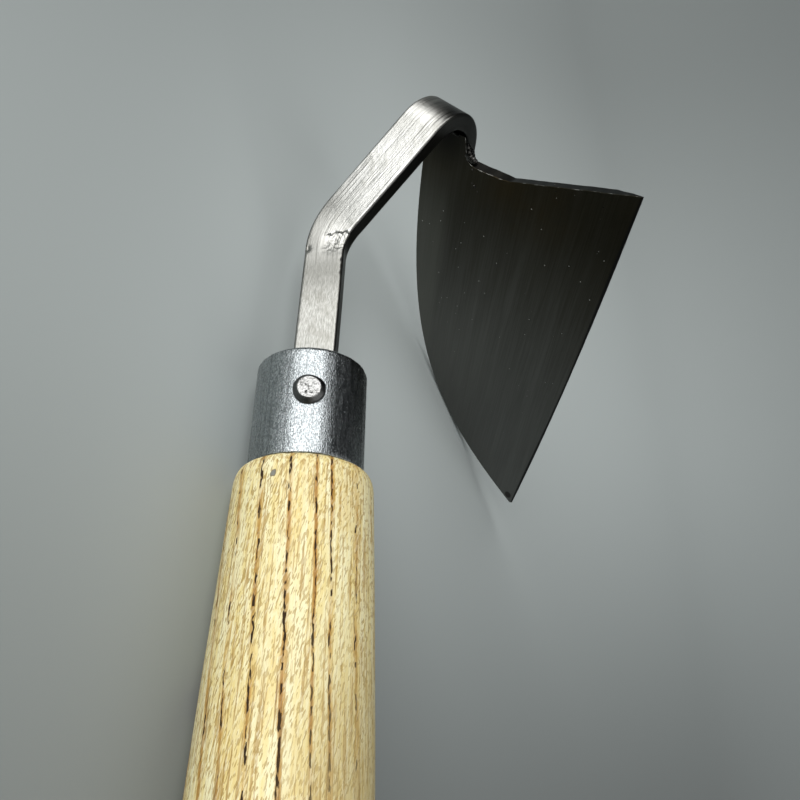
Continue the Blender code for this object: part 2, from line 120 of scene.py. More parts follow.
RIVET_HEAD_HEIGHT = 0.0012
WELD_WIDTH = 0.0024
WELD_HEIGHT = 0.0019
WELD_TOP = -0.0008

# Wear, unevenness and small gaps, which only the looks have
WOOD_WAVE = 0.00006
WOOD_SANDING = 0.000012
FLUTE_DEPTH = 0.00020
SLOT_MARGIN = 0.0002
BAR_START_DEPTH = 0.0009
BAR_EDGE_WEAR = 0.00012
BAR_WAVE = 0.00003
SHEARED_EDGE_WAVE = 0.00012
UPPER_EDGE_WEAR = 0.0006
UPPER_EDGE_WORN = (0.0080, 0.0100, 0.0170, 0.0220)
EDGE_ROUNDING = 0.00022
HAMMER_BLOWS = 110
RIPPLE_LENGTH = 0.0009
FILL_RADIUS = 0.00100

# How finely the pieces are modelled
FINE_STEP = 0.0003
WOOD_STEP = 0.0008
WOOD_STEPS_ROUND = 200
FERRULE_STEPS_ROUND = 144
RIVET_STEPS_ROUND = 80

# The photograph's camera in the tool's frame, worked out for a picture 800 pixels wide and high
CAMERA_PLACE = Vector((-0.07922, -0.03103, 0.13559))
CAMERA_RIGHT = Vector((0.00972, -0.99662, -0.08152))
CAMERA_UP = Vector((0.8832, -0.02967, 0.46805))
CAMERA_BACK = Vector((-0.46889, -0.07655, 0.87993))
PICTURE_WIDTH = 800
FOCAL_PIXELS = 720.1
SENSOR_WIDTH = 36.0


class Station:
    """A place on the bar's centre line, with the way it runs and the way its front faces."""

    def __init__(self, place, along, front, width, thickness, distance):
        self.place = Vector(place)
        self.along = Vector(along).normalized()
        self.front = Vector(front).normalized()
        self.width = width
        self.thickness = thickness
        self.distance = distance

    @property
    def right(self):
        """The way across the bar."""
        return self.along.cross(self.front)


def between(start, end, share):
    """The point part of the way from one point to another."""
    return tuple(a + (b - a) * share for a, b in zip(start, end))


def run(start, length, width, thickness, turn=("Z", 0.0)):
    """Stations along a straight run or a bend, whose section changes evenly to the given one.

    The turn is a fixed axis and the angle about it, a helix where the axis is askew.
    """
    axis, angle = turn
    steps = max(1, math.ceil(length / FINE_STEP))
    place = start.place.copy()
    stations = []
    for i in range(1, steps + 1):
        share = i / steps
        middle = Matrix.Rotation(angle * (i - 0.5) / steps, 3, axis)
        place = place + middle @ start.along * length / steps
        here = Matrix.Rotation(angle * share, 3, axis)
        wide, thick = between((start.width, start.thickness), (width, thickness), share)
        along, front = here @ start.along, here @ start.front
        stations.append(Station(place, along, front, wide, thick, start.distance + length * share))
    return stations


def bar_stations():
    """Every station of the bar from the ferrule to the end of the fold."""
    lean = Matrix.Rotation(math.radians(-STUB_LEAN), 3, "Z")
    along = lean @ Vector((1, 0, 0))
    stub = (STUB_WIDTH, STUB_THICKNESS)
    arm = (ARM_WIDTH, ARM_THICKNESS)
    start = Station((0, -STUB_OFFSET, 0), along, (0, 0, 1), *stub, 0.0)
    sideways = Matrix.Rotation(math.radians(-ELBOW_ANGLE), 3, start.front)
    rise = Matrix.Rotation(math.radians(ELBOW_RISE), 3, sideways @ start.right)
    twist = Matrix.Rotation(math.radians(ELBOW_TWIST), 3, rise @ sideways @ start.along)
    elbow = (twist @ rise @ sideways).to_quaternion().to_axis_angle()
    set_back = ELBOW_RADIUS * math.tan(elbow[1] / 2)
    stations = [start]
    stations += run(start, STUB_LENGTH - set_back, *stub)
    stations += run(stations[-1], ELBOW_RADIUS * elbow[1], *arm, elbow)
    stations += run(stations[-1], ARM_LENGTH - set_back, *arm)
    before_fold = stations[-1]
    skew = Matrix.Rotation(math.radians(FOLD_SKEW), 3, before_fold.front)
    angle = math.radians(FOLD_ANGLE)
    fold = (skew @ before_fold.right, -angle)
    return stations + run(before_fold, FOLD_RADIUS * angle, ARM_WIDTH, LEG_THICKNESS, fold)


BAR = bar_stations()


def plate_frame():
    """Turns (across, down, out) into the tool's frame, with out 0 on the plate's front face."""
    leg = BAR[-1]
    front_of_plate = leg.place - leg.front * (leg.thickness / 2 + GAP + BLADE_THICKNESS)
    columns = Matrix((leg.right, leg.along, leg.front)).transposed().to_4x4()
    return Matrix.Translation(front_of_plate) @ columns


def mount(name):
    """Place and outward axis of one of the record's mounts."""
    found = next(item for item in frame["record"]["mounts"] if item["name"] == name)
    return Vector(found["pos_m"]), Vector(found["axis"]).normalized()


def facing(forward, other):
    """A turn whose X axis is the first direction, with the second one in its XY plane."""
    up = forward.cross(other).normalized()
    return Matrix((forward, up.cross(forward), up)).transposed()


def tool_frame():
    """The tool's own frame as it lies in the CAD, found from the butt and the blade's front."""
    butt, butt_axis = mount("butt_end")
    plate_axis = mount("blade_front")[1]
    lying = facing(-butt_axis, plate_axis)
    upright = facing(Vector((1, 0, 0)), -(PLATE.to_3x3() @ Vector((0, 0, 1))))
    turn = lying @ upright.transposed()
    butt_in_tool = Vector((-(FERRULE_LENGTH + GAP + HANDLE_LENGTH), 0, 0))
    return Matrix.Translation(butt - turn @ butt_in_tool) @ turn.to_4x4()


PLATE = plate_frame()
TOOL = tool_frame()


class Value:
    """A number or a colour in a material, from which others are worked out."""

    def __init__(self, finish, socket):
        self.finish = finish
        self.socket = socket

    def math(self, operation, *others):
        """This value worked on with others, by a named operation."""
        inputs = dict(enumerate((self, *others)))
        return self.finish.value("ShaderNodeMath", inputs, operation=operation)

    def __add__(self, other):
        return self.math("ADD", other)

    def __sub__(self, other):
        return self.math("SUBTRACT", other)

    def __mul__(self, other):
        return self.math("MULTIPLY", other)

    def __abs__(self):
        return self.math("ABSOLUTE")

    def span(self, low, high, to_low=0.0, to_high=1.0):
        """Turns low..high into to_low..to_high, softly at both ends."""
        inputs = {"Value": self, "From Min": low, "From Max": high, "To Min": to_low, "To Max": to_high}
        return self.finish.value("ShaderNodeMapRange", inputs, interpolation_type="SMOOTHSTEP")


class Finish:
    """One material: its nodes are built with short calls, in the frame that its piece is made in."""

    def __init__(self, name, colour, metallic=0.0, placed=None):
        self.material = bpy.data.materials.new(name)
        self.material.use_nodes = True
        self.tree = self.material.node_tree
        self.shader = self.tree.nodes["Principled BSDF"]
        self.shader.inputs["Metallic"].default_value = metallic
        self.colour = colour
        self.relief = None
        coordinates = self.add("ShaderNodeTexCoord")
        self.unrolled = Value(self, coordinates.outputs["UV"])
        shift, turn, _ = (placed or TOOL).inverted().decompose()
        in_row = Value(self, coordinates.outputs["Object"])
        inputs = {"Vector": in_row, "Location": shift, "Rotation": turn.to_euler()}
        self.place = self.value("ShaderNodeMapping", inputs)

    def add(self, kind, inputs=None, **settings):
        """A new node with its inputs filled in."""
        node = self.tree.nodes.new(kind)
        for key, value in settings.items():
            setattr(node, key, value)
        for key, value in (inputs or {}).items():
            self.put(value, node.inputs[key])
        return node

    def put(self, value, socket):
        """Links a value to an input, or sets it there."""
        if isinstance(value, Value):
            self.tree.links.new(value.socket, socket)
        else:
            socket.default_value = value

    def value(self, kind, inputs=None, output=0, **settings):
        """A new node's output."""
        return Value(self, self.add(kind, inputs, **settings).outputs[output])

    def sized(self, size, source=None, turn=(0, 0, 0)):
        """Coordinates in which a pattern's features have the given size in metres."""
        inputs = {"Vector": source or self.place, "Scale": size, "Rotation": turn}
        return self.value("ShaderNodeMapping", inputs, vector_type="TEXTURE")

    def noise(self, size, detail=2.0, roughness=0.5, source=None, turn=(0, 0, 0)):
        """Smooth random values, with features of the given size."""
        inputs = {"Vector": self.sized(size, source, turn), "Scale": 1.0}
        inputs.update({"Detail": detail, "Roughness": roughness})
        return self.value("ShaderNodeTexNoise", inputs)

    def spots(self, spacing, radius, share):
        """Small round spots, at most one to a cell of the given spacing."""
        vector = self.sized((spacing, spacing, spacing))
        cells = self.add("ShaderNodeTexVoronoi", {"Vector": vector, "Scale": 1.0})
        off = Value(self, cells.outputs["Distance"])
        chance = self.value("ShaderNodeSeparateColor", {"Color": Value(self, cells.outputs["Color"])})
        return off.span(radius / spacing, radius / spacing * 0.6) * chance.math("LESS_THAN", share)

    def axis(self, index):
        """One coordinate of the place: 0, 1 or 2."""
        return self.value("ShaderNodeSeparateXYZ", {"Vector": self.place}, index)

    def stored(self, name):
        """A value that the mesh holds."""
        return self.value("ShaderNodeAttribute", output="Fac", attribute_name=name)

    def near(self, point, sizes):
        """1 at a point, falling softly to 0 at the given sizes from it."""
        inputs = {"Vector": self.place, "Location": point, "Scale": sizes}
        off = self.value("ShaderNodeMapping", inputs, vector_type="TEXTURE")
        length = self.value("ShaderNodeVectorMath", {0: off}, "Value", operation="LENGTH")
        return length.span(0.0, 1.0, 1.0, 0.0)

    def mix(self, share, first, second):
        """A colour between two others."""
        node = self.add("ShaderNodeMix", {0: share}, data_type="RGBA")
        for value, socket in ((first, node.inputs[6]), (second, node.inputs[7])):
            self.put(value if isinstance(value, Value) else (*value, 1.0), socket)
        return Value(self, node.outputs[2])

    def paint(self, colour, share):
        """Lays a colour over what is painted so far."""
        self.colour = self.mix(share, self.colour, colour)

    def emboss(self, height, depth):
        """Adds relief from a pattern, with the pattern's 0 to 1 as deep as the given depth."""
        inputs = {"Height": height, "Distance": depth, "Strength": 1.0}
        if self.relief:
            inputs["Normal"] = self.relief
        self.relief = self.value("ShaderNodeBump", inputs)

    def done(self, roughness):
        """The finished material."""
        colour = self.colour if isinstance(self.colour, Value) else (*self.colour, 1.0)
        self.put(colour, self.shader.inputs["Base Color"])
        self.put(roughness, self.shader.inputs["Roughness"])
        if self.relief:
            self.put(self.relief, self.shader.inputs["Normal"])
        return self.material


# The wood's rings: distance of each from the pith and how strong its line of pores is
PITH_ACROSS = -0.060
GRAIN_SLOPE = 0.043
GRAIN_START = -0.0285
RINGS = (
    (0.0360, 0.7), (0.0402, 0.5), (0.0446, 0.7), (0.0488, 0.15), (0.0534, 0.8), (0.0561, 1.0),
    (0.0611, 1.0), (0.0663, 0.85), (0.0705, 0.35), (0.0736, 0.5), (0.0772, 0.7), (0.0815, 0.6),
)
FLECK_SLANT = -13

CREAM = (0.91, 0.85, 0.53)
STRAW = (0.85, 0.71, 0.32)
HONEY = (0.78, 0.57, 0.18)
AMBER = (0.57, 0.31, 0.04)
RUSSET = (0.36, 0.165, 0.025)


def ring_number(finish, distance):
    """Counts the rings out from the pith, with the share of a ring as the fraction."""
    first, last = RINGS[0][0], RINGS[-1][0]
    share = finish.value("ShaderNodeMapRange", {"Value": distance, "From Min": first, "From Max": last})
    node = finish.add("ShaderNodeFloatCurve", {"Value": share})
    curve = node.mapping.curves[0]
    for number, (place, _) in enumerate(RINGS[1:-1], 1):
        curve.points.new((place - first) / (last - first), number / (len(RINGS) - 1))
    for point in curve.points:
        point.handle_type = "VECTOR"
    node.mapping.update()
    return Value(finish, node.outputs[0]) * (len(RINGS) - 1)


def ring_strength(finish, number):
    """How strong the line of the ring is that a number belongs to."""
    node = finish.add("ShaderNodeValToRGB", {0: number.math("DIVIDE", len(RINGS))})
    ramp = node.color_ramp
    ramp.interpolation = "CONSTANT"
    while len(ramp.elements) < len(RINGS):
        ramp.elements.new(0.5)
    for i, (_, strength) in enumerate(RINGS):
        ramp.elements[i].position = i / len(RINGS)
        ramp.elements[i].color = (strength, strength, strength, 1.0)
    return Value(finish, node.outputs[0])


def ash_wood():
    """Pale ash: amber ring lines along the handle, dark open pores on them, fibres and flecks; the pale
    flecks are partly painted highlights, and its right side towards the butt has painted shade.
    """
    finish = Finish("ash_wood", CREAM)
    lengthwise, across, out = (finish.axis(i) for i in range(3))
    tilt = lengthwise * -GRAIN_SLOPE + (GRAIN_SLOPE * GRAIN_START - PITH_ACROSS)
    from_pith = finish.value("ShaderNodeCombineXYZ", {1: across + tilt, 2: out})
    distance = finish.value("ShaderNodeVectorMath", {0: from_pith}, "Value", operation="LENGTH")
    drift = finish.noise((0.09, 0.05, 0.05), 1.0) - 0.5
    waver = finish.noise((0.011, 0.006, 0.006), 3.0) - 0.5
    number = ring_number(finish, distance + drift * 0.0014 + waver * 0.0011)
    strength = ring_strength(finish, number + 0.5)
    phase = (number + 0.5).math("FRACT")
    edge = finish.noise((0.0022, 0.0010, 0.0010), 1.0) - 0.5
    ragged = phase + edge * 0.12
    off_line = abs(ragged - 0.5)
    core = (off_line + finish.noise((0.0016, 0.0006, 0.0006), 1.0) * -0.11).span(-0.014, -0.026)
    band = ragged.span(0.33, 0.46) * ragged.span(0.61, 0.54)
    patches = finish.noise((0.012, 0.0025, 0.0025))
    tint = band * patches.span(0.36, 0.60, 0.30, 1.0) * strength.span(0.0, 1.0, 0.60, 1.0)
    thread = off_line.span(0.090, 0.030) * patches.span(0.40, 0.60, 0.1, 1.0)
    thread = thread * strength.span(0.0, 1.0, 0.4, 0.75)

    clusters = finish.noise((0.012, 0.003, 0.003), 1.0) - 0.5
    dashes = finish.noise((0.0024, 0.0009, 0.0009), 1.0)
    pores = core * (dashes + strength * 0.18 + clusters * 0.35).span(0.63, 0.70)
    veins = finish.noise((0.020, 0.00060, 0.00060))
    vein = abs(phase - 0.5).span(0.30, 0.12) * veins.span(0.60, 0.68)

    slant = (0, 0, math.radians(FLECK_SLANT))
    speck = finish.noise((0.0014, 0.00030, 0.0006), 1.0, turn=slant).span(0.55, 0.61)
    pale_flecks_and_highlights = finish.noise((0.0018, 0.00040, 0.0007), 1.0, turn=slant).span(0.52, 0.62)
    fibres = finish.noise((0.030, 0.00048, 0.00048), 3.0, 0.65)
    streaks = finish.noise((0.030, 0.0014, 0.0014), 3.0, 0.6)
    cloud = finish.noise((0.018, 0.006, 0.006))
    flecked = finish.noise((0.012, 0.0035, 0.0035), 1.0).span(0.36, 0.58, 0.7, 1.0)
    flecked = flecked * across.span(-0.009, 0.002, 0.80, 1.0)

    finish.paint(STRAW, streaks.span(0.38, 0.62))
    finish.paint(HONEY, cloud.span(0.48, 0.72, 0.0, 0.45))
    finish.paint((0.45, 0.27, 0.065), fibres.span(0.52, 0.60, 0.0, 0.80))
    finish.paint(AMBER, tint * 0.95)
    # pale flecks: partly pale grain, partly painted highlights on the raised flecks
    finish.paint((1.0, 0.96, 0.68), pale_flecks_and_highlights * flecked * 0.40)
    finish.paint((0.42, 0.27, 0.065), speck * flecked * 0.80)
    finish.paint(RUSSET, thread)
    finish.paint((0.26, 0.14, 0.035), vein * 0.75)
    finish.paint((0.036, 0.018, 0.005), pores)
    # painted shade: the handle's right side darker towards the butt
    shade = across.span(-0.001, -0.013) * lengthwise.span(-0.045, -0.085)
    finish.paint((0.40, 0.31, 0.13), shade * 0.55)
    chip = finish.near((-0.0290, 0.0029, 0.0139), (0.0013, 0.0012, 0.003)) + edge * 1.4
    finish.paint((0.13, 0.10, 0.05), chip.span(0.46, 0.54, 0.0, 0.85))
    finish.paint((0.21, 0.22, 0.20), chip.span(0.64, 0.80, 0.0, 0.8))

    finish.emboss(pores * -1.0 + 1.0, 0.00016)
    finish.emboss(fibres, 0.000030)
    finish.emboss(pale_flecks_and_highlights - speck, 0.000030)
    return finish.done(streaks.span(0.3, 0.7, 0.56, 0.46).math("MAXIMUM", pores))


def zinc_plate():
    """Satin plated steel: a fine grain that breaks up its gloss, and faint drawing lines."""
    finish = Finish("zinc_plate", (0.20, 0.217, 0.222), metallic=1.0)
    grain = finish.noise((0.00044, 0.00026, 0.00026), 2.0, 0.6)
    coarse = finish.noise((0.0030, 0.0006, 0.0006))
    drawn = finish.noise((0.05, 0.0009, 0.0009))
    cloud = finish.noise((0.008, 0.008, 0.008))
    sparkle = finish.spots(0.0011, 0.00013, 0.16)
    finish.paint((0.48, 0.51, 0.52), grain.span(0.38, 0.62))
    finish.paint((0.25, 0.27, 0.28), cloud.span(0.4, 0.7, 0.0, 0.3))
    finish.paint((0.12, 0.13, 0.133), drawn.span(0.50, 0.66, 0.0, 0.45))
    finish.paint((0.85, 0.88, 0.90), sparkle)
    finish.emboss(grain, 0.00010)
    finish.emboss(sparkle, 0.00010)
    finish.emboss(drawn, 0.000015)
    return finish.done(coarse.span(0.35, 0.65, 0.18, 0.30))


def bar_steel():
    """Stainless bar: a dull grainy stub, an arm brushed along its length with a painted highlight in its
    middle, and painted shade on the arm's left, on the sides and on the fold.
    """
    finish = Finish("bar_steel", (0.25, 0.249, 0.228), metallic=1.0)
    brushed = finish.noise((0.022, 0.00030, 1.0), 3.0, 0.7, finish.unrolled)
    grooves = finish.noise((0.012, 0.0009, 1.0), 2.0, 0.5, finish.unrolled)
    grain = finish.noise((0.0015, 0.00036, 1.0), 3.0, 0.65, finish.unrolled)
    worn = finish.noise((0.006, 0.003, 0.006), 3.0, 0.6)
    lengthwise = finish.value("ShaderNodeSeparateXYZ", {"Vector": finish.unrolled})
    across = finish.stored("across")
    on_arm = lengthwise.span(0.025, 0.042)

    finish.paint((0.44, 0.438, 0.411), grain.span(0.30, 0.70))
    finish.paint((0.17, 0.168, 0.150), grooves.span(0.52, 0.70, 0.0, 0.30))
    finish.paint((0.15, 0.15, 0.135), lengthwise.span(0.015, 0.029, 0.0, 0.70))
    # painted highlight: the arm lighter in its middle, then painted shade towards the fold
    arm = finish.mix(lengthwise.span(0.044, 0.054), (0.53, 0.527, 0.500), (0.60, 0.597, 0.572))
    arm = finish.mix(lengthwise.span(0.060, 0.076), arm, (0.44, 0.437, 0.412))
    arm = finish.mix(brushed.span(0.42, 0.60, 0.0, 0.6), arm, (0.31, 0.308, 0.29))
    arm = finish.mix(brushed.span(0.57, 0.65, 0.0, 0.90), arm, (0.09, 0.09, 0.082))
    finish.paint(arm, on_arm)
    # painted shade: the arm's left part darker, as a painted dark reflection
    painted_reflection_left = across.span(0.0015, -0.0040) * lengthwise.span(0.030, 0.036) * lengthwise.span(0.052, 0.043)
    finish.paint((0.13, 0.13, 0.118), painted_reflection_left * 0.60)
    finish.paint((0.20, 0.195, 0.165), worn.span(0.5, 0.72, 0.0, 0.35))
    # painted shade: the fold painted nearly black
    fold = lengthwise + grooves * 0.006 + across * 0.8
    finish.paint((0.024, 0.024, 0.022), fold.span(0.0785, 0.0865, 0.0, 0.96))
    # painted shade: the bar's sides painted dark
    side = abs(finish.stored("facing")).span(0.93, 0.50)
    finish.paint((0.075, 0.075, 0.070), side * 0.93)

    finish.emboss(brushed * on_arm, 0.000040)
    finish.emboss(grooves * on_arm, 0.000030)
    finish.emboss(grain, 0.000040)
    finish.emboss(worn, 0.00006)
    return finish.done(on_arm * -0.08 + 0.40)


def blade_steel():
    """Dark rolled plate: faint lines that run down it, heat tint near the weld, painted shade at its top,
    under the fold and along its cutting edge, painted reflected light lower down and on its left, and
    painted highlights by its back and on its upper rims.
    """
    finish = Finish("blade_steel", (0.030, 0.027, 0.018), metallic=1.0, placed=TOOL @ PLATE)
    lines = finish.noise((0.00045, 0.020, 0.00045), 3.0, 0.6)
    wide_lines = finish.noise((0.0035, 0.08, 0.0035))
    cloud = finish.noise((0.012, 0.016, 0.012), 3.0)
    broken = finish.noise((0.0022, 0.0022, 0.0022), 3.0).span(0.46, 0.66)
    across, down, out = (finish.axis(i) for i in range(3))

    # painted shade at the plate's top, grading to painted reflected light lower down
    finish.paint((0.112, 0.112, 0.105), down.span(-0.004, 0.085))
    # painted reflected light: the plate lighter on its lower left
    painted_reflection_left = across.span(0.036, 0.004) * down.span(0.03, 0.07)
    finish.paint((0.19, 0.188, 0.172), painted_reflection_left * 0.40)
    # painted reflected light towards the tip
    finish.paint((0.16, 0.16, 0.152), down.span(0.080, 0.110, 0.0, 0.3))
    shown = down.span(0.0, 0.06, 0.03, 0.12)
    finish.paint((0.24, 0.24, 0.23), lines.span(0.35, 0.65) * shown)
    finish.paint((0.22, 0.22, 0.21), wide_lines.span(0.45, 0.7) * shown)
    # painted highlight: a lighter band along the plate's back edge
    painted_highlight_by_back = across.span(0.006, 0.0015) * down.span(0.004, 0.030)
    finish.paint((0.165, 0.165, 0.145), painted_highlight_by_back * 0.5)
    warm = finish.near((0.026, 0.004, 0.0), (0.022, 0.016, 0.01)) * cloud.span(0.35, 0.65, 0.3, 1.0)
    finish.paint((0.045, 0.030, 0.010), warm * 0.6)
    # painted shade: the tab under the fold painted near black
    painted_shade_under_fold = finish.near((0.0, -0.004, 0.0), (0.013, 0.013, 0.010))
    finish.paint((0.008, 0.008, 0.008), painted_shade_under_fold * 0.9)
    tip = finish.near((0.0466, 0.1130, 0.0), (0.0020, 0.0026, 0.003))
    finish.paint((0.022, 0.016, 0.014), tip.span(0.15, 0.6, 0.0, 0.85))

    share = down.span(HEEL_DOWN, TIP_DOWN)
    edge = down * ((TIP_ACROSS - HEEL_ACROSS) / (TIP_DOWN - HEEL_DOWN)) + HEEL_ACROSS
    edge = edge + share * (share * -1.0 + 1.0) * (4 * EDGE_BULGE)
    # painted shade: a dark line along the cutting edge, for the shade of its bevel
    finish.paint((0.02, 0.02, 0.02), (edge - across).span(0.0011, 0.0006))
    sheared_side = out.span(0.00015, 0.00030) * down.span(0.012, 0.006)
    finish.paint((0.020, 0.020, 0.019), sheared_side * 0.85)
    # painted highlight: bright broken spots along the plate's upper rims
    rim = out.span(0.00001, 0.00006) * out.span(0.00022, 0.00012) * down.span(0.020, 0.008)
    finish.paint((0.34, 0.34, 0.32), rim * broken)
    speck = finish.spots(0.0020, 0.00015, 0.40) * down.span(0.085, 0.020, 0.10, 1.0)
    finish.paint((0.80, 0.79, 0.74), speck)

    finish.emboss(lines, 0.000008)
    finish.emboss(speck, 0.00006)
    return finish.done(cloud.span(0.3, 0.7, 0.30, 0.38))


def rivet_steel():
    """Bright hammered steel with a fine grain, its sloped shoulder painted dark as shade."""
    finish = Finish("rivet_steel", (0.17, 0.17, 0.165), metallic=1.0)
    grain = finish.noise((0.00026, 0.00026, 0.00026))
    finish.paint((0.44, 0.44, 0.43), grain.span(0.35, 0.65))
    # painted shade: the sloped shoulder painted dark
    finish.paint((0.085, 0.087, 0.087), finish.stored("height").span(0.96, 0.80, 0.0, 0.85))
    finish.emboss(grain, 0.00003)
    return finish.done(grain.span(0.3, 0.7, 0.28, 0.40))


def weld_metal():
    """Weld with brown heat tint, dark on the plate's front, and painted near black as shade at the top of
    the notch, under the fold.
    """
    finish = Finish("weld_metal", (0.26, 0.255, 0.24), metallic=1.0, placed=TOOL @ PLATE)
    tint = finish.noise((0.0024, 0.0024, 0.0024))
    grain = finish.noise((0.0003, 0.0003, 0.0003))
    finish.paint((0.09, 0.07, 0.05), tint.span(0.35, 0.65))
    finish.paint((0.050, 0.049, 0.047), finish.axis(2).span(0.0020, 0.0010) * 0.90)
    # painted shade: the weld's top, under the fold, painted near black
    finish.paint((0.012, 0.012, 0.011), finish.axis(1).span(0.0006, -0.0008) * 0.92)
    finish.emboss(grain, 0.00003)
    return finish.done(grain.span(0.3, 0.7, 0.18, 0.34))


def new_object(name, data):
    """A new object in the scene."""
    item = bpy.data.objects.new(name, data)
    bpy.context.scene.collection.objects.link(item)
    return item


def add_piece(name, mesh, material, node, sharp=None, placed=None):
    """Puts a finished mesh in place of a CAD node. Its edges above the sharp angle stay sharp."""
    if sharp:
        mesh.set_sharp_from_angle(angle=math.radians(sharp))
    piece = new_object(name, mesh)
    mesh.materials.clear()
    mesh.materials.append(material)
    mesh.transform(placed or TOOL)
    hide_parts(node)
    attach(piece, "root")
    return piece


def rough(x, y, z):
    """A smooth random value at a place, between about -1 and 1."""
    return noise.noise(Vector((x, y, z)))


def circle(count):
    """Directions evenly round a circle, as pairs of cosine and sine."""
    return [(math.cos(math.tau * i / count), math.sin(math.tau * i / count)) for i in range(count)]


def arc(centre, radii, start, end, steps):
    """Points of an arc of a circle or an ellipse, with both ends, from angles in degrees."""
    angles = [math.radians(start + (end - start) * i / steps) for i in range(steps + 1)]
    return [(centre[0] + radii[0] * math.cos(a), centre[1] + radii[1] * math.sin(a)) for a in angles]


def skin(name, rings, distances=None, open_end=False):
    """A tube through closed rings of points, unrolled in metres along it and round it."""
    count = len(rings[0])
    distances = distances or [0.0] * len(rings)
    points = [point for ring in rings for point in ring]
    faces = []
    for row in range(len(rings) - 1):
        for i in range(count):
            j = (i + 1) % count
            low, high = row * count, (row + 1) * count
            faces.append((low + i, low + j, high + j, high + i))
    sides = len(faces)
    faces.append(tuple(reversed(range(count))))
    if not open_end:
        faces.append(tuple(range((len(rings) - 1) * count, len(rings) * count)))
    mesh = bpy.data.meshes.new(name)
    mesh.from_pydata(points, [], faces)
    middle = [Vector(point) for point in rings[len(rings) // 2]]
    girth = [0.0]
    for i in range(count):
        girth.append(girth[-1] + (middle[(i + 1) % count] - middle[i]).length)
    chart = mesh.uv_layers.new(name="unrolled").data
    for index in range(sides):
        row, i = divmod(index, count)
        corners = ((row, i), (row, i + 1), (row + 1, i + 1), (row + 1, i))
        for k, (r, c) in enumerate(corners):
            chart[index * 4 + k].uv = (distances[r], girth[c])
    mesh.shade_smooth()
    return mesh


def outward(mesh):
    """Makes every face of a closed mesh point out."""
    shape = bmesh.new()
    shape.from_mesh(mesh)
    bmesh.ops.recalc_face_normals(shape, faces=shape.faces)
    shape.to_mesh(mesh)
    shape.free()
    return mesh


def handle_radius(x):
    """Radius of the wood below its shoulder: a gentle swelling about the belly."""
    neck_depth = FERRULE_LENGTH + SHOULDER_DROP
    from_belly = (HANDLE_BELLY_DEPTH + x) / (HANDLE_BELLY_DEPTH - neck_depth)
    return HANDLE_BELLY_RADIUS - (HANDLE_BELLY_RADIUS - HANDLE_NECK_RADIUS) * from_belly**2


def handle_profile():
    """Half outline of the wood as (x, radius) from inside the ferrule to the middle of the butt."""
    seat = -(FERRULE_LENGTH + GAP)
    lip = FERRULE_RADIUS + GAP
    tenon = FERRULE_RADIUS - FERRULE_WALL - GAP
    points = [(seat + 0.002, 0.001), (seat + 0.002, tenon), (seat, tenon), (seat, (tenon + lip) / 2)]
    neck_x = seat - SHOULDER_DROP
    points += arc((neck_x, lip), (SHOULDER_DROP, handle_radius(neck_x) - lip), 0, 90, 16)
    butt_x = seat - HANDLE_LENGTH
    body_end = butt_x + BUTT_ROUNDING
    steps = math.ceil((neck_x - body_end) / WOOD_STEP)
    places = [neck_x + (body_end - neck_x) * i / steps for i in range(1, steps + 1)]
    points += [(x, handle_radius(x)) for x in places]
    flat = handle_radius(body_end) - BUTT_ROUNDING
    points += arc((body_end, flat), (BUTT_ROUNDING, BUTT_ROUNDING), 90, 180, 16)[1:]
    return points + [(butt_x, flat * (1 - i / 8)) for i in range(1, 8)]


# Torn fibres where the wood meets the ferrule
TEAR_PLACE = -(FERRULE_LENGTH + GAP + 0.0003)
TEAR_REACH = 0.0008
TEAR_HEIGHT = 0.00022


def make_handle():
    """The wood, with the slight unevenness of turning and sanding."""
    profile = handle_profile()
    rings = []
    for x, radius in profile:
        ring = []
        shown = radius > FERRULE_RADIUS
        lip = max(0.0, 1 - abs(x - TEAR_PLACE) / TEAR_REACH) * shown
        for y, z in circle(WOOD_STEPS_ROUND):
            wear = WOOD_WAVE * (rough(x * 40, y * 1.3, z * 1.3) - 0.6)
            wear += WOOD_SANDING * (rough(x * 900, y * 0.6, z * 0.6) - 0.6)
            tear = rough(y * 9, z * 9, x * 500)
            here = radius + wear * shown + lip * TEAR_HEIGHT * tear
            ring.append((x - lip * 0.0003 * max(0.0, tear), here * y, here * z))
        rings.append(ring)
    mesh = outward(skin("handle_wood", rings, [x for x, _ in profile]))
    add_piece("handle_wood", mesh, ash_wood(), "handle", 50)


def ferrule_profile():
    """Closed half outline of the cap as (x, radius): out over the rim, down, in and back up."""
    rim = (-FERRULE_RIM_RADIUS, FERRULE_RADIUS - FERRULE_RIM_RADIUS)
    points = [(0.0, 0.0005)] + arc(rim, (FERRULE_RIM_RADIUS, FERRULE_RIM_RADIUS), 0, 90, 8)
    mouth = -FERRULE_LENGTH
    top, low = (rim[0], FERRULE_RADIUS), (mouth + 0.0003, FERRULE_RADIUS)
    points += [between(top, low, i / 23) for i in range(1, 24)]
    points += [(mouth + 0.0001, FERRULE_RADIUS - 0.0001), (mouth, FERRULE_RADIUS - 0.0003)]
    inside = FERRULE_RADIUS - FERRULE_WALL
    return points + [(mouth, inside), (-FERRULE_WALL, inside), (-FERRULE_WALL, 0.0005)]


def cut(mesh, cutter):
    """The mesh with the room of another one taken out."""
    item = new_object("cut", mesh)
    tool = new_object("cutter", cutter)
    modifier = item.modifiers.new("room", "BOOLEAN")
    modifier.solver = "EXACT"
    modifier.object = tool
    bpy.context.view_layer.update()
    graph = bpy.context.evaluated_depsgraph_get()
    result = bpy.data.meshes.new_from_object(item.evaluated_get(graph))
    for each in (item, tool):
        bpy.data.objects.remove(each)
    return result


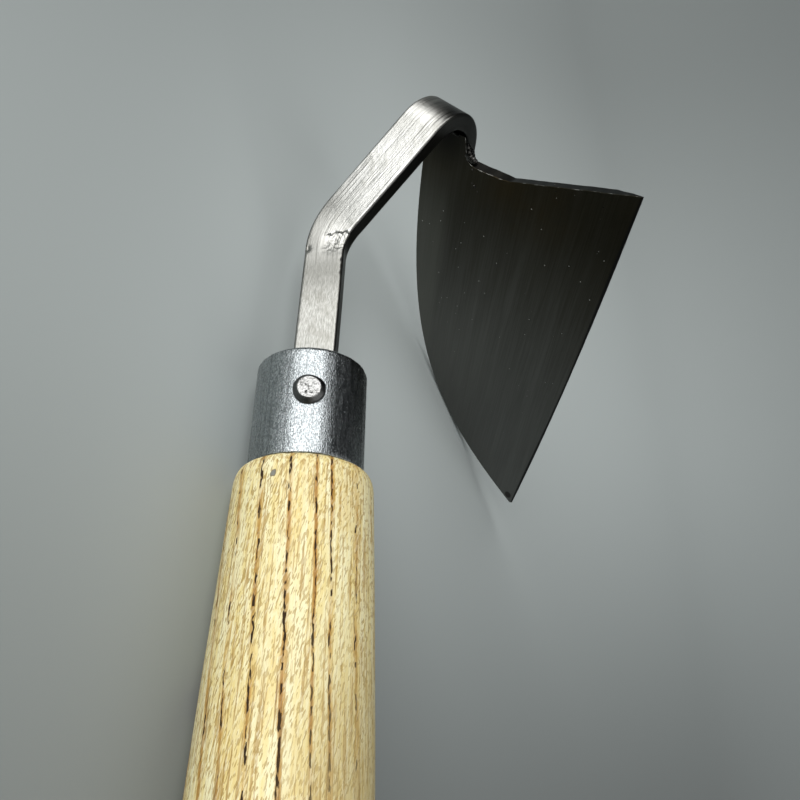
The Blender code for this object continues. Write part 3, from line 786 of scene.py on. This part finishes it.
def section(width, thickness, radius, margin=0.0, fine=True):
    """Points round the bar's section with their outward directions, from the front's left."""
    half = (width / 2 + margin - radius, thickness / 2 + margin - radius)
    corners = [(half[0] * side, half[1] * face) for side, face in ((1, 1), (1, -1), (-1, -1), (-1, 1))]
    counts = (8, 20, 8, 34) if fine else (1, 1, 1, 1)
    spots = []
    for quarter, (middle, count) in enumerate(zip(corners, counts)):
        ways = arc((0, 0), (1, 1), 90 - 90 * quarter, -90 * quarter, 4)
        spots += [(middle, way) for way in ways]
        goal = corners[(quarter + 1) % 4]
        spots += [(between(middle, goal, i / count), ways[-1]) for i in range(1, count)]
    return [((x + radius * way[0], z + radius * way[1]), way) for (x, z), way in spots]


def make_ferrule():
    """A drawn cap with a rounded rim, and a slot in its top for the bar."""
    profile = ferrule_profile()
    rings = []
    for x, radius in profile:
        ring = []
        for y, z in circle(FERRULE_STEPS_ROUND):
            flute = 0.5 + 0.5 * rough(y * 6, z * 6, x * 12)
            here = radius - FLUTE_DEPTH * flute * (radius > FERRULE_RADIUS / 2)
            ring.append((x, here * y, here * z))
        rings.append(ring)
    cap = outward(skin("ferrule_cap", rings, [x for x, _ in profile]))
    start = BAR[0]
    slot = []
    for shift in (-0.004, 0.004):
        ring = []
        for (x, z), _ in section(STUB_WIDTH, STUB_THICKNESS, BAR_CORNER_RADIUS, SLOT_MARGIN, fine=False):
            ring.append(start.place + start.along * shift + start.right * x + start.front * z)
        slot.append(ring)
    mesh = cut(cap, outward(skin("slot", slot)))
    mesh.shade_smooth()
    add_piece("ferrule_cap", mesh, zinc_plate(), "ferrule", 40)


# Dents on the bar's front: distance along it, across it, length, width and depth, in millimetres
FRONT_DENTS = (
    (33.4, -4.2, 1.0, 0.8, 0.50), (30.2, 4.7, 0.7, 0.6, 0.40), (28.3, 4.8, 0.8, 0.5, 0.35),
    (26.4, 4.7, 0.6, 0.5, 0.35), (56.0, 0.6, 3.0, 0.5, 0.05), (60.5, 1.6, 2.4, 0.4, 0.04),
    (66.0, -1.8, 2.0, 0.5, 0.04), (14.0, 1.4, 0.7, 0.6, 0.05), (21.0, -1.6, 0.6, 0.5, 0.05),
)

# The hammered patch on the elbow's front, in millimetres along and across the bar
PATCH_START = (30.5, 36.5)
PATCH_LEFT = (-1.3, 0.3)
PATCH_END = 38.5
PATCH_SLANT = 0.65
PATCH_DEPTH = 0.30


def blend(value, low, high):
    """0 below the low value and 1 above the high one, with a soft rise between them."""
    share = min(1.0, max(0.0, (value - low) / (high - low)))
    return share * share * (3 - 2 * share)


def front_dent(distance, across):
    """How deep the bar's front is dented at a place, in metres."""
    along, side = distance * 1000, across * 1000
    depth = 0.0
    for middle, off_middle, length, width, deep in FRONT_DENTS:
        off = ((along - middle) / length) ** 2 + ((side - off_middle) / width) ** 2
        depth += deep * math.exp(-off * 1.5)
    end = PATCH_END + PATCH_SLANT * min(side - 1.0, 3.0) + 0.9 * rough(side * 1.3, 0.2, 0.4)
    patch = blend(along, *PATCH_START) * blend(side, *PATCH_LEFT) * (1 - blend(along, end - 0.3, end + 0.2))
    pits = 0.55 * rough(along * 1.1, side * 1.1, 0.0) + 0.35 * rough(along * 2.4, side * 2.4, 4.0)
    lip = math.exp(-(((along - end - 0.35) / 0.35) ** 2)) * blend(side, *PATCH_LEFT)
    return (depth + PATCH_DEPTH * (patch * (1 + pits) - 0.22 * lip)) / 1000


def bar_point(station, spot, way):
    """A point of the bar's surface, worn at its edges and dented."""
    across, out = spot
    push = front_dent(station.distance, across) * way[1] if way[1] > 0.3 else 0.0
    worn = max(0.0, rough(station.distance * 260, way[0] * 2, way[1] * 2))
    push += BAR_EDGE_WEAR * abs(way[0] * way[1]) * worn
    push += BAR_WAVE * (rough(station.distance * 70, across * 90, out * 90) + 0.5)
    return station.place + station.right * (across - way[0] * push) + station.front * (out - way[1] * push)


def add_values(mesh, name, values):
    """Gives the mesh one value for each place round its rings, for its material to read."""
    layer = mesh.attributes.new(name, "FLOAT", "POINT")
    for i, item in enumerate(layer.data):
        item.value = values[i % len(values)]


def make_neck():
    """The bar from inside the ferrule to the end of the leg."""
    first = BAR[0]
    place = first.place - first.along * BAR_START_DEPTH
    inside = Station(place, first.along, first.front, STUB_WIDTH, STUB_THICKNESS, -BAR_START_DEPTH)
    stations = [inside] + BAR + run(BAR[-1], LEG_LENGTH, ARM_WIDTH, LEG_THICKNESS)
    rings = []
    for station in stations:
        around = section(station.width, station.thickness, BAR_CORNER_RADIUS)
        rings.append([bar_point(station, spot, way) for spot, way in around])
    mesh = outward(skin("neck", rings, [station.distance for station in stations]))
    around = section(ARM_WIDTH, ARM_THICKNESS, BAR_CORNER_RADIUS)
    add_values(mesh, "facing", [way[1] for _, way in around])
    add_values(mesh, "across", [spot[0] for spot, _ in around])
    add_piece("neck", mesh, bar_steel(), "neck_bar", 50)


def cutting_edge(inset=0.0, steps=60):
    """The slightly bowed cutting edge from heel to tip, drawn in from the edge by the inset."""
    heel = Vector((HEEL_ACROSS, HEEL_DOWN))
    tip = Vector((TIP_ACROSS, TIP_DOWN))
    along = (tip - heel).normalized()
    out = Vector((along.y, -along.x))
    points = []
    for i in range(steps + 1):
        share = i / steps
        point = heel.lerp(tip, share) + out * (EDGE_BULGE * 4 * share * (1 - share) - inset)
        points.append((point.x, point.y))
    return points


def blade_back(tip, steps=60):
    """The back of the plate from under the tab round to the tip."""
    lean = math.radians(BACK_LEAN)
    arrival = math.radians(TIP_ANGLE)
    top = (TAB_LEFT, BACK_TOP)
    below_top = (top[0] - BACK_DROP * math.sin(lean), top[1] + BACK_DROP * math.cos(lean))
    before_tip = (tip[0] - BACK_SWEEP * math.cos(arrival), tip[1] - BACK_SWEEP * math.sin(arrival))
    corners = (top, below_top, before_tip, tip)
    points = []
    for i in range(steps + 1):
        t = i / steps
        weights = ((1 - t) ** 3, 3 * t * (1 - t) ** 2, 3 * t**2 * (1 - t), t**3)
        points.append(tuple(sum(w * c[k] for w, c in zip(weights, corners)) for k in (0, 1)))
    return points


def tab_top():
    """How far up, and so below 0, the tab's front corner reaches into the hollow of the fold."""
    depth = FOLD_RADIUS - LEG_THICKNESS / 2 - GAP - BLADE_THICKNESS
    reach = FOLD_RADIUS - ARM_THICKNESS / 2 - TAB_CLEARANCE
    return -math.sqrt(reach**2 - depth**2)


def blade_outline():
    """Outline of the plate across and down the leg, from the tab's top left, clockwise."""
    points = [(TAB_LEFT, tab_top()), (TAB_RIGHT, tab_top())]
    notch = (TAB_RIGHT + TAB_FLARE + NOTCH_RADIUS, NOTCH_DOWN - NOTCH_RADIUS)
    points += arc(notch, (NOTCH_RADIUS, NOTCH_RADIUS), 180, 90, 8)
    shoulder = (SHOULDER_ACROSS, SHOULDER_DOWN)
    points += sheared(points[-1], shoulder)
    points += sheared(shoulder, (HEEL_ACROSS, HEEL_DOWN))[:-1]
    points += cutting_edge()
    blunt_tip = (TIP_ACROSS - TIP_ROUNDING, TIP_DOWN + TIP_ROUNDING)
    return points + blade_back(blunt_tip)[::-1]


def sheared(start, end):
    """Points to the end of a straight cut, as slightly uneven as shears leave it."""
    steps = math.ceil(math.dist(start, end) / 0.0006)
    points = []
    for i in range(1, steps + 1):
        across, down = between(start, end, i / steps)
        points.append((across, down + SHEARED_EDGE_WAVE * rough(across * 420, 0.3, 0.7) * (i < steps)))
    return points


def edge_wear(across, down):
    """How far the plate's front is worn down below its upper edge, between notch and shoulder."""
    if down > BACK_TOP:
        return 0.0
    worn = blend(across, *UPPER_EDGE_WORN[:2]) * (1 - blend(across, *UPPER_EDGE_WORN[2:]))
    return UPPER_EDGE_WEAR * worn


def bevel_room():
    """The wedge that grinding takes from the plate's far side along its cutting edge."""
    slope = (BLADE_THICKNESS - EDGE_THICKNESS) / BEVEL_WIDTH
    low = BLADE_THICKNESS - slope * BEVEL_WIDTH * 2
    high = BLADE_THICKNESS + BEVEL_WIDTH
    rings = []
    for near, far in zip(cutting_edge(BEVEL_WIDTH), cutting_edge(-BEVEL_WIDTH)):
        rings.append([(*near, BLADE_THICKNESS), (*near, high), (*far, high), (*far, low)])
    for inside, end in ((1, 0), (-2, -1)):
        pairs = zip(rings[inside], rings[end])
        beyond = [tuple(Vector(e) + (Vector(e) - Vector(i)) * 3) for i, e in pairs]
        if end:
            rings.append(beyond)
        else:
            rings.insert(0, beyond)
    return outward(skin("bevel_room", rings))


def make_blade():
    """The plate: its tab sloped under the fold, its far side ground, its edges slightly rounded."""
    front = [(across, down + edge_wear(across, down), 0.0) for across, down in blade_outline()]
    far = [Vector((across, down, BLADE_THICKNESS)) for across, down in blade_outline()]
    slope = -GAP - tab_top()
    far[0] = far[0].lerp(far[-1], slope / (BACK_TOP - tab_top()))
    far[1] = far[1].lerp(far[2], slope / (front[2][1] - tab_top()))
    mesh = cut(outward(skin("blade_plate", [front, far])), bevel_room())
    mesh.shade_smooth()
    piece = add_piece("blade_plate", mesh, blade_steel(), "blade", placed=TOOL @ PLATE)
    rounding = piece.modifiers.new("rounding", "BEVEL")
    rounding.width = EDGE_ROUNDING
    rounding.segments = 3
    rounding.limit_method = "ANGLE"
    rounding.angle_limit = math.radians(35)
    rounding.harden_normals = True
    smooth = piece.modifiers.new("smooth", "WEIGHTED_NORMAL")
    smooth.keep_sharp = True


def rivet_frame(far):
    """Turns a head made about +X so that it points out of the ferrule, in front or at the far side."""
    outward_turn = Matrix.Rotation(math.radians(90 if far else -90), 4, "Y")
    roll = Matrix.Rotation(math.radians(RIVET_ROLL), 4, "X")
    return Matrix.Translation((-RIVET_DEPTH, 0, 0)) @ roll @ outward_turn


def head_outline():
    """Half outline of a head as (radius, height): crown, rolled edge, cone and straight side."""
    shoulder = RIVET_HEAD_RADIUS - RIVET_CROWN_RADIUS
    roll, foot = shoulder * 0.3, shoulder * 0.45
    points = [(RIVET_CROWN_RADIUS * (i + 0.5) / 22, RIVET_HEAD_HEIGHT) for i in range(22)]
    points += arc((RIVET_CROWN_RADIUS, RIVET_HEAD_HEIGHT - roll), (roll, roll), 80, 35, 5)
    points += arc((RIVET_HEAD_RADIUS - foot, RIVET_HEAD_HEIGHT * 0.20), (foot, foot), 50, 0, 5)
    return points + [(RIVET_HEAD_RADIUS, -0.0004), (RIVET_HEAD_RADIUS - 0.0006, -0.0008)]


def head_mesh(name, seed):
    """One head: a sloped shoulder, which its material paints dark as shade, and a crown beaten nearly flat
    by hammer blows.
    """
    random.seed(seed)
    blows = []
    for _ in range(HAMMER_BLOWS):
        turn = random.uniform(0, math.tau)
        reach = RIVET_CROWN_RADIUS * 1.05 * math.sqrt(random.random())
        size = random.uniform(0.00014, 0.00034)
        deep = random.uniform(0.00003, 0.00007)
        blows.append((reach * math.cos(turn), reach * math.sin(turn), size, deep))
    rings = []
    heights = []
    for radius, height in reversed(head_outline()):
        ring = []
        share = min(1.0, max(0.0, height / RIVET_HEAD_HEIGHT))
        for i, j in circle(RIVET_STEPS_ROUND):
            y, z = radius * i, radius * j
            dimple = sum(d * math.exp(-((y - a) ** 2 + (z - b) ** 2) / s**2) for a, b, s, d in blows)
            uneven = 1 + 0.05 * rough(i, j, seed)
            base = math.sqrt(FERRULE_RADIUS**2 - z**2) if height > -0.0006 else FERRULE_RADIUS - 0.0003
            x = base * (1 - share) + FERRULE_RADIUS * share + height
            ring.append((x - min(dimple, 0.00030) * share**4, y * uneven, z * uneven))
            heights.append(share)
        rings.append(ring)
    mesh = outward(skin(name, rings))
    add_values(mesh, "height", heights)
    return mesh


def make_rivet():
    """The two heads that show, on the ferrule's front and far side."""
    steel = rivet_steel()
    for name, seed, far in (("rivet_head", 3, False), ("rivet_far_head", 8, True)):
        add_piece(name, head_mesh(name, seed), steel, "rivet", 60, TOOL @ rivet_frame(far))


def weld_path():
    """Way around the leg on the plate's far face, with the direction away from the leg."""
    step = 0.00012
    corner = BAR_CORNER_RADIUS
    side = ARM_WIDTH / 2 + GAP
    end = LEG_LENGTH + GAP
    path = []
    down = WELD_TOP
    while down < end - corner:
        path.append(((side, down), (1.0, 0.0)))
        down += step
    for out in arc((0, 0), (1, 1), 0, 90, 8):
        path.append(((side - corner + corner * out[0], end - corner + corner * out[1]), out))
    across = side - corner - step
    while across > 0:
        path.append(((across, end), (0.0, 1.0)))
        across -= step
    return path + [((-x, y), (-out_x, out_y)) for (x, y), (out_x, out_y) in reversed(path)]


# Drops on the plate's front: across, down, half length, half width, height, turn, in mm and degrees
DROPS = (
    (11.1, 7.0, 0.55, 0.22, 0.30, 35), (10.2, 6.5, 0.22, 0.16, 0.15, 10), (12.3, 8.1, 0.16, 0.14, 0.12, 0),
    (9.6, 2.9, 0.30, 0.20, 0.18, 60), (3.2, -4.25, 1.25, 0.42, 0.40, 3), (33.5, -1.9, 0.16, 0.13, 0.14, 0),
    (46.0, -3.6, 0.15, 0.12, 0.12, 0),
)


def droplet(across, down, length, width, height, turn):
    """Rings of a small drop of weld on the plate's front, longer one way."""
    middle = Vector((across, down, 0)) / 1000
    turned = Matrix.Rotation(math.radians(turn), 3, "Z")
    rings = []
    for flat, lift in arc((0, 0), (1, 1), -50, 88, 8):
        ring = []
        for i, j in circle(20):
            lump = 1 + 0.10 * rough(i * 2, j * 2, middle.x * 900)
            spot = Vector((length * flat * i * lump, width * flat * j * lump, -height * lift)) / 1000
            ring.append(middle + turned @ spot)
        rings.append(ring)
    return rings


# The short run of weld that fills the notch: across, down and out from the plate's front, in mm
FILL_PATH = (
    (5.8, -2.3, 1.6), (6.4, -1.2, 1.3), (7.1, -0.1, 1.0),
    (7.9, 0.7, 0.9), (8.8, 1.2, 1.1), (9.8, 1.6, 1.5),
)


def corner_fill():
    """Rings of the short run of weld that fills the notch beside the tab."""
    points = [Vector(point) / 1000 for point in FILL_PATH]
    rings = []
    steps = 40
    for i in range(steps + 1):
        place = i / steps * (len(points) - 1)
        k = min(int(place), len(points) - 2)
        middle = points[k].lerp(points[k + 1], place - k)
        along = (points[k + 1] - points[k]).normalized()
        side = along.cross(Vector((0, 0, 1))).normalized()
        up = side.cross(along)
        pulse = 0.5 + 0.5 * math.sin(place * 7.0 + rough(*(middle * 900)))
        end = math.sin(math.pi * (i + 0.5) / (steps + 1)) ** 0.35
        radius = FILL_RADIUS * (1 + 0.14 * pulse) * end
        rings.append([middle + side * radius * 1.15 * x + up * radius * y for x, y in circle(16)])
    return rings


def joined(name, meshes):
    """One mesh of several."""
    whole = bmesh.new()
    for mesh in meshes:
        whole.from_mesh(mesh)
        bpy.data.meshes.remove(mesh)
    mesh = bpy.data.meshes.new(name)
    whole.to_mesh(mesh)
    whole.free()
    mesh.shade_smooth()
    return mesh


def bead_rings():
    """Rings of the bead round the leg: uneven ripples, thin where it starts and ends."""
    path = weld_path()
    distances = [0.0]
    for (before, _), (place, _) in zip(path, path[1:]):
        distances.append(distances[-1] + math.dist(before, place))
    foot = BLADE_THICKNESS + 0.00005
    rings = []
    for (place, out), distance in zip(path, distances):
        nearest = min(distance, distances[-1] - distance)
        wander = rough(distance * 700, 0.5, 0.5)
        pulse = (distance / RIPPLE_LENGTH + wander * 0.6) % 1.0
        width = WELD_WIDTH + 0.00010 * (pulse**2 - 0.5) + 0.00010 * wander
        thin = 0.0030 if distance < 0.01 else 0.0014
        if nearest < thin:
            width -= 0.0016 * (1 - math.sqrt(1 - (1 - nearest / thin) ** 2))
        height = WELD_HEIGHT * width / WELD_WIDTH * (0.94 + 0.05 * pulse**2)
        ring = [(*place, foot)]
        for i in range(13):
            turn = math.radians(90 * i / 12)
            lump = 1 + 0.03 * rough(distance * 2500, turn * 4, 0)
            away = width * math.cos(turn) * lump
            up = foot + height * math.sin(turn) * lump
            ring.append((place[0] + out[0] * away, place[1] + out[1] * away, up))
        rings.append(ring)
    return rings


def make_weld():
    """The bead round the leg, the fill in the notch and a few drops on the plate's front."""
    lumps = [bead_rings(), corner_fill()] + [droplet(*drop) for drop in DROPS]
    mesh = joined("weld", [outward(skin("lump", rings)) for rings in lumps])
    add_piece("weld", mesh, weld_metal(), "weld_bead", 50, TOOL @ PLATE)


def make_camera():
    """The photograph's view."""
    camera = bpy.data.cameras.new("camera")
    camera.sensor_width = SENSOR_WIDTH
    camera.lens = FOCAL_PIXELS / PICTURE_WIDTH * SENSOR_WIDTH
    camera.shift_x = 0.5 / PICTURE_WIDTH
    camera.shift_y = -0.5 / PICTURE_WIDTH
    camera.clip_start = 0.005
    camera.clip_end = 20.0
    item = new_object("camera", camera)
    turn = Matrix((CAMERA_RIGHT, CAMERA_UP, CAMERA_BACK)).transposed().to_4x4()
    item.matrix_world = TOOL @ Matrix.Translation(CAMERA_PLACE) @ turn
    bpy.context.scene.camera = item


FLOOR_MIDDLE = (0.10, 0.50)
FLOOR_FLAT = 0.95
FLOOR_ROUNDING = 1.0
WALL_HEIGHT = 1.4
FLOOR_PAINTED_LIGHT = (0.55, 0.60, 0.59)
FLOOR_PAINTED_SHADE = (0.26, 0.285, 0.28)


def make_floor():
    """A pale floor that curves up all round into a wall, with a painted pool of light about the tool,
    painted shade round it, and the wall painted darker towards its top as shade.
    """
    profile = [(0.001, 0.0), (0.4, 0.0), (0.8, 0.0)]
    profile += arc((FLOOR_FLAT, FLOOR_ROUNDING), (FLOOR_ROUNDING, FLOOR_ROUNDING), -90, 0, 40)
    profile.append((FLOOR_FLAT + FLOOR_ROUNDING, WALL_HEIGHT))
    middle = Vector((*FLOOR_MIDDLE, 0))
    rings = [[middle + Vector((radius * x, radius * y, z)) for x, y in circle(96)] for radius, z in profile]
    mesh = skin("floor", rings, open_end=True)
    finish = Finish("floor_paper", (0.18, 0.197, 0.193), placed=Matrix.Identity(4))
    ahead, side, height = (finish.axis(i) for i in range(3))
    # painted light: a pale pool about the tool, fading to painted shade beyond it and at the sides
    painted_light_pool = ahead.math("DIVIDE", (side * -4.0 + 1.4).math("MAXIMUM", 0.6))
    finish.paint(FLOOR_PAINTED_LIGHT, painted_light_pool.span(-0.02, 0.095))
    finish.paint(FLOOR_PAINTED_SHADE, painted_light_pool.span(0.10, 0.24, 0.0, 0.7))
    finish.paint(FLOOR_PAINTED_SHADE, side.span(0.0, 0.12, 0.0, 0.55))
    finish.paint((0.24, 0.262, 0.258), side.span(-0.15, -1.20, 0.0, 0.85))
    finish.paint(FLOOR_PAINTED_SHADE, side.span(0.13, 0.40))
    # painted shade: the wall darker towards its top
    finish.paint((0.07, 0.075, 0.075), height.span(0.40, 0.90))
    mesh.materials.append(finish.done(0.9))
    floor = new_object("floor", mesh)


def add_light(name, place, target, size, radiance, spread=180.0):
    """A soft lamp at a place, turned to a target and as bright as the given radiance."""
    lamp = bpy.data.lights.new(name, "AREA")
    lamp.shape = "RECTANGLE"
    lamp.size, lamp.size_y = size
    lamp.energy = radiance * math.pi * size[0] * size[1]
    lamp.spread = math.radians(spread)
    item = new_object(name, lamp)
    item.visible_camera = False
    item.location = place
    item.rotation_mode = "QUATERNION"
    item.rotation_quaternion = (Vector(place) - Vector(target)).to_track_quat("Z", "Y")


LAMP_TARGET = Vector((0.09, 0.05, 0.03))


def from_head(azimuth, elevation, distance):
    """A place seen from the tool's head, by its angle off +Y towards +X and its height angle."""
    side, up = math.radians(azimuth), math.radians(elevation)
    way = Vector((math.sin(side) * math.cos(up), math.cos(side) * math.cos(up), math.sin(up)))
    return LAMP_TARGET + way * distance


def light_studio():
    """A large soft lamp beside the tool, a weaker one above it and one for the backdrop."""
    world = bpy.data.worlds.new("room")
    bpy.context.scene.world = world
    world.use_nodes = True
    background = world.node_tree.nodes["Background"]
    background.inputs["Color"].default_value = (0.95, 0.98, 1.0, 1.0)
    background.inputs["Strength"].default_value = 0.07
    add_light("key", from_head(17.0, 29.0, 1.20), LAMP_TARGET, (1.55, 1.24), 3.5)
    add_light("top", from_head(-105.0, 60.0, 1.0), LAMP_TARGET, (1.1, 1.1), 0.95)
    add_light("backdrop", (0.30, -0.60, 0.90), (0.45, -1.20, 0.0), (1.2, 0.5), 0.85, 130.0)


def build():
    """The whole scene, with any camera and lamp that was there before taken out."""
    for item in list(bpy.data.objects):
        if item.type in {"CAMERA", "LIGHT"}:
            bpy.data.objects.remove(item)
    bpy.context.scene.view_settings.view_transform = "Standard"
    make_camera()
    make_handle()
    make_ferrule()
    make_neck()
    make_blade()
    make_rivet()
    make_weld()
    make_floor()
    light_studio()


build()
